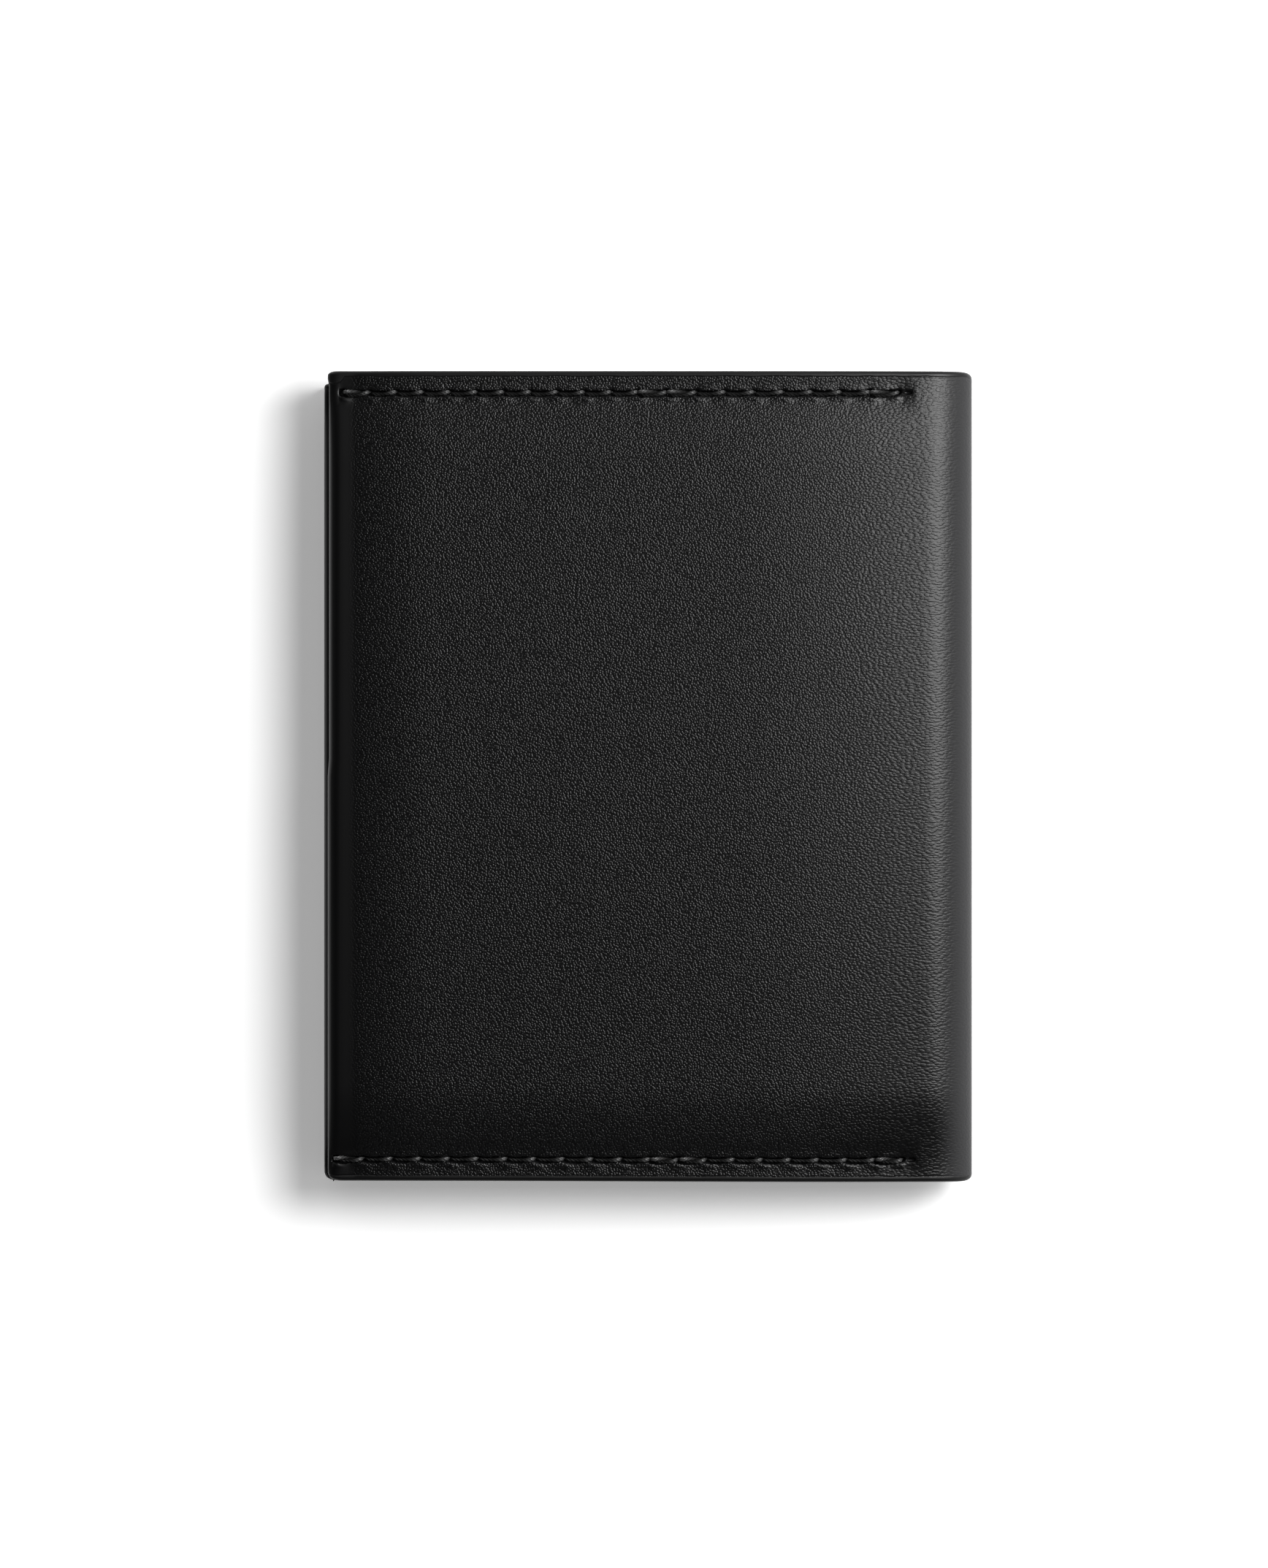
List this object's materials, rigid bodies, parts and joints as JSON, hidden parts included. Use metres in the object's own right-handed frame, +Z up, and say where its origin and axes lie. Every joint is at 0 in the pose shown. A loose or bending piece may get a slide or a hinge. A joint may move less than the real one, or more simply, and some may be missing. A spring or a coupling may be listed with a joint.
{
  "type": "bifold wallet",
  "caption": "Black grained leather bifold wallet lying closed, with stitched painted edges, turned-in open edges, inner card pockets and a flexible rounded spine.",
  "frame": {"origin": "middle of the closed wallet's footprint, on the surface that its back leaf lies on", "axes": "+X points at the spine, +Y runs along the fold to the top edge, +Z points up through the front leaf"},
  "size_m": [0.0801, 0.1, 0.0127],
  "materials": {
    "cover_leather": "satin",
    "inner_leather": "satin",
    "lining_cloth": "matte",
    "stiffener": "matte",
    "edge_paint": "satin",
    "thread": "satin"
  },
  "bodies": {
    "back_leaf": {"back_cover": "cover_leather", "back_board": "stiffener", "back_lining": "lining_cloth", "back_turned_edge": "cover_leather", "back_slot_rear": "inner_leather", "back_slot_front": "inner_leather", "back_top_edge_paint": "edge_paint", "back_bottom_edge_paint": "edge_paint", "back_top_seam": "thread", "back_bottom_seam": "thread"},
    "spine_lower": {"spine_cover_lower": "cover_leather", "spine_lining_lower": "lining_cloth"},
    "spine_upper": {"spine_cover_upper": "cover_leather", "spine_lining_upper": "lining_cloth"},
    "front_leaf": {"front_cover": "cover_leather", "front_board": "stiffener", "front_lining": "lining_cloth", "front_turned_edge": "cover_leather", "front_pocket": "inner_leather", "front_top_edge_paint": "edge_paint", "front_bottom_edge_paint": "edge_paint", "front_top_seam": "thread", "front_bottom_seam": "thread"}
  },
  "joints": [
    {"name": "fold_1", "type": "hinge", "parent": "back_leaf", "child": "spine_lower", "pos_m": [0.03643, 0, 0], "axis": [0, 1, 0], "range_deg": [0, 60]},
    {"name": "fold_2", "type": "hinge", "parent": "spine_lower", "child": "spine_upper", "pos_m": [0.0401, 0, 0.00635], "axis": [0, 1, 0], "range_deg": [0, 60]},
    {"name": "fold_3", "type": "hinge", "parent": "spine_upper", "child": "front_leaf", "pos_m": [0.03643, 0, 0.0127], "axis": [0, 1, 0], "range_deg": [0, 60]}
  ],
  "couplings": [
    {"joint": "fold_1", "follows": "fold_3", "ratio": 1},
    {"joint": "fold_2", "follows": "fold_3", "ratio": 1}
  ]
}
